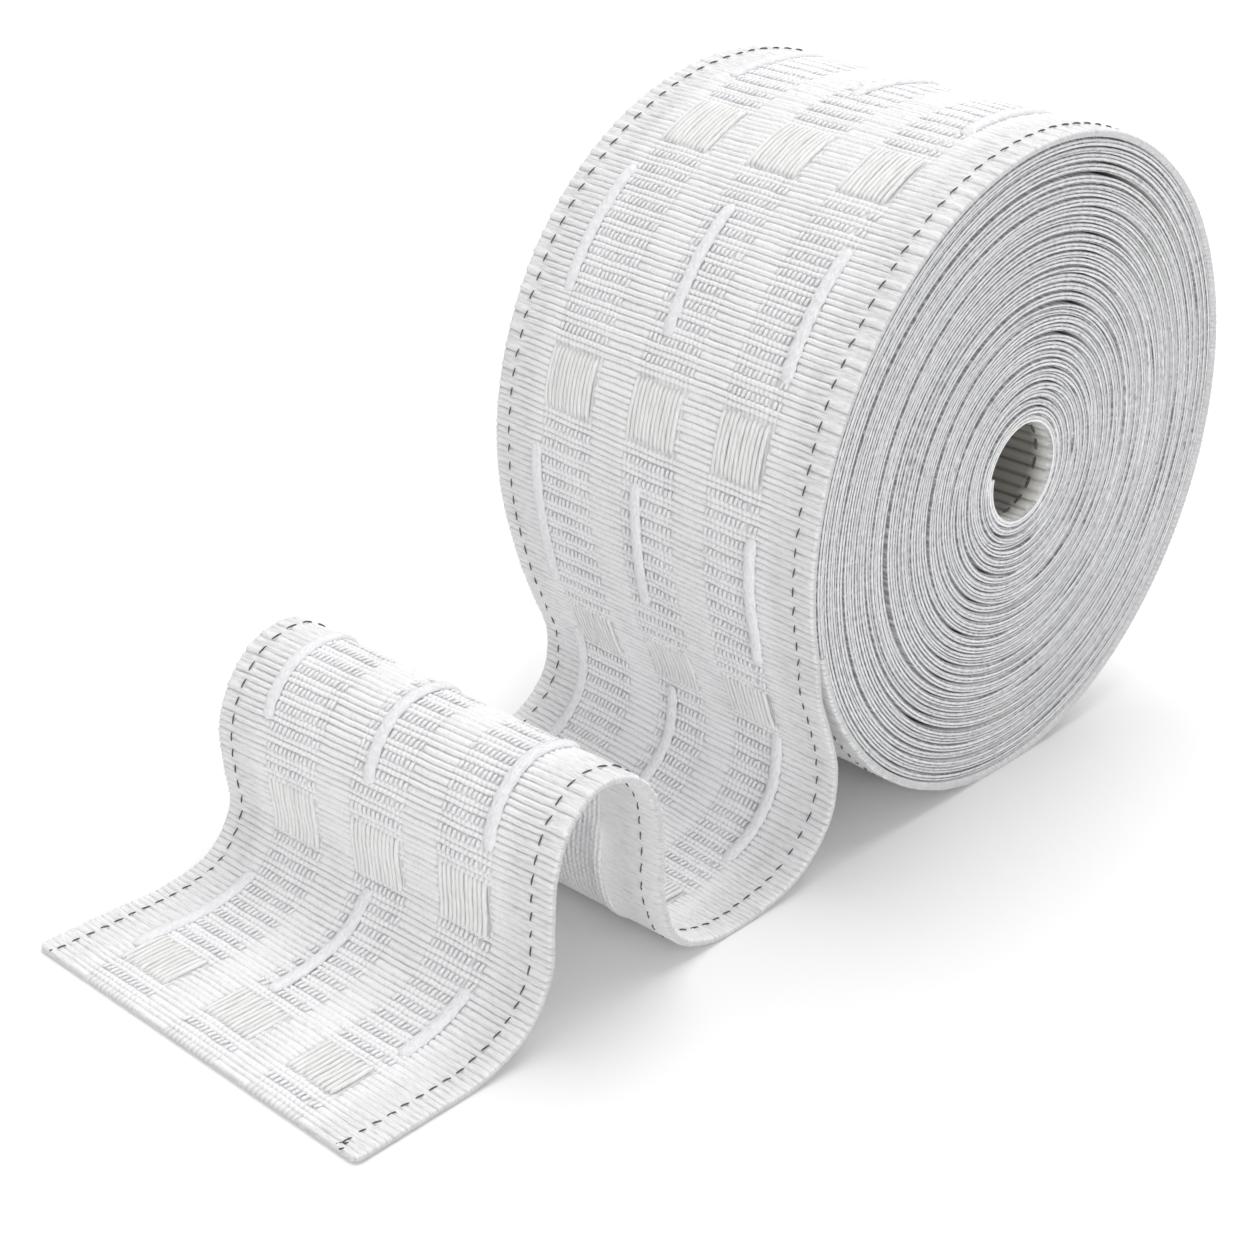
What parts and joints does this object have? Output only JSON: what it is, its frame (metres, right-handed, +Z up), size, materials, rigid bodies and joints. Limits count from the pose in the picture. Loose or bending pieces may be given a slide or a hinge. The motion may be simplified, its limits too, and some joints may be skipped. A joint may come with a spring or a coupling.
{
  "type": "roll of curtain heading tape",
  "caption": "Roll of white woven curtain heading tape with its loose end laid out in a wave, with pocket blocks and draw cords.",
  "frame": {"origin": "middle of the part's footprint, on the surface that it rests on", "axes": "+X along the roll's axis, -Y the way the loose end runs out, +Z up"},
  "size_m": [0.075, 0.2212, 0.1203],
  "materials": {
    "wound_cloth": "matt white woven polyester tape, in close turns",
    "loose_cloth": "matt white woven polyester tape"
  },
  "bodies": {
    "root": {"wound_tape": "wound_cloth", "loose_end": "loose_cloth"}
  },
  "joints": []
}
